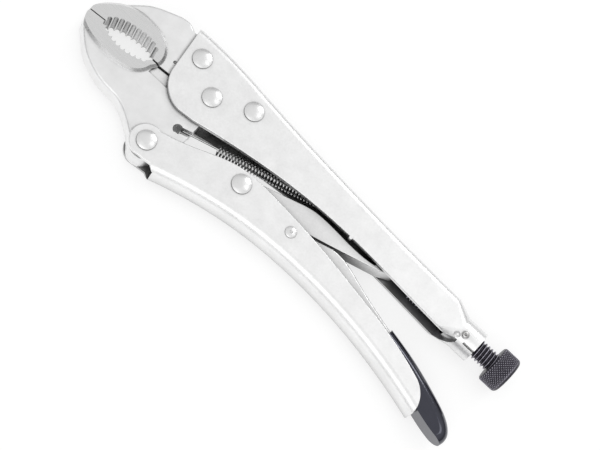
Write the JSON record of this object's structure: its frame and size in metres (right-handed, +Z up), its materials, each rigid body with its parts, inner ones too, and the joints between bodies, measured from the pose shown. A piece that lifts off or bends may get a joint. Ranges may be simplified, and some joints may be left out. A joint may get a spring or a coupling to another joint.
{
  "type": "locking pliers",
  "caption": "Curved-jaw locking pliers with an over-centre toggle link, release lever, adjusting screw and tension spring, lying on their side.",
  "frame": {"origin": "middle of the pliers' box at the plane they lie on", "axes": "+X from the jaws to the adjusting knob, +Y from the lower handle to the upper handle, +Z up from the side they lie on"},
  "size_m": [0.2518, 0.0676, 0.019],
  "materials": {
    "plated_sheet": "satin nickel plate on sheet steel",
    "forged_steel": "satin nickel plate on a forging, ground bare round the teeth",
    "rivet_steel": "satin nickel plate, smooth dome",
    "link_steel": "satin nickel plate",
    "nut_steel": "plain machined steel",
    "weld_metal": "plated weld bead",
    "black_oxide": "black oxide, low sheen",
    "dipped_vinyl": "glossy black dipped vinyl",
    "spring_steel": "dark oiled spring wire"
  },
  "bodies": {
    "fixed_handle": {"upper_handle": "plated_sheet", "thread_nut": "nut_steel", "tail_weld": "weld_metal", "spring_anchor": "plated_sheet", "fixed_jaw": "forged_steel", "fixed_jaw_rivet_front": "rivet_steel", "fixed_jaw_rivet_rear": "rivet_steel", "jaw_pivot_rivet": "rivet_steel"},
    "moving_jaw": {"moving_jaw": "forged_steel", "tension_spring": "spring_steel"},
    "lower_handle": {"lower_handle": "plated_sheet", "handle_pivot_rivet": "rivet_steel", "toggle_link_rivet": "rivet_steel", "release_lever_rivet": "rivet_steel"},
    "toggle_link": {"toggle_link": "link_steel"},
    "release_lever": {"release_lever": "link_steel", "release_lever_grip": "dipped_vinyl"},
    "screw_point": {"screw_tip": "black_oxide"},
    "adjusting_screw": {"adjusting_screw": "black_oxide", "adjusting_knob": "black_oxide"}
  },
  "joints": [
    {"name": "jaw_pivot", "type": "hinge", "parent": "fixed_handle", "child": "moving_jaw", "pos_m": [-0.0587, 0.0114, 0.0095], "axis": [0, 0, 1], "range_deg": [0, 18], "deforming": ["tension_spring"]},
    {"name": "handle_pivot", "type": "hinge", "parent": "moving_jaw", "child": "lower_handle", "pos_m": [-0.0662, -0.0249, 0.0095], "axis": [0, 0, 1], "range_deg": [-53.1, 0]},
    {"name": "link_pivot", "type": "hinge", "parent": "lower_handle", "child": "toggle_link", "pos_m": [-0.0221, -0.0094, 0.0095], "axis": [0, 0, 1], "range_deg": [0, 57.6]},
    {"name": "release_lever_pivot", "type": "hinge", "parent": "lower_handle", "child": "release_lever", "pos_m": [0.0087, -0.0101, 0.0095], "axis": [0, 0, 1], "range_deg": [0, 2]},
    {"name": "screw_travel", "type": "slide", "parent": "fixed_handle", "child": "screw_point", "axis": [1, 0, 0], "range_m": [0, 0.0105]},
    {"name": "screw_turn", "type": "hinge", "parent": "screw_point", "child": "adjusting_screw", "pos_m": [0.1, 0.0131, 0.0095], "axis": [1, 0, 0], "range_deg": [0, 2160]}
  ],
  "couplings": [
    {"joint": "handle_pivot", "follows": "jaw_pivot", "ratio": -2.95},
    {"joint": "link_pivot", "follows": "jaw_pivot", "ratio": 3.2},
    {"joint": "screw_turn", "follows": "screw_travel", "rad_per_m": 3590.4}
  ]
}
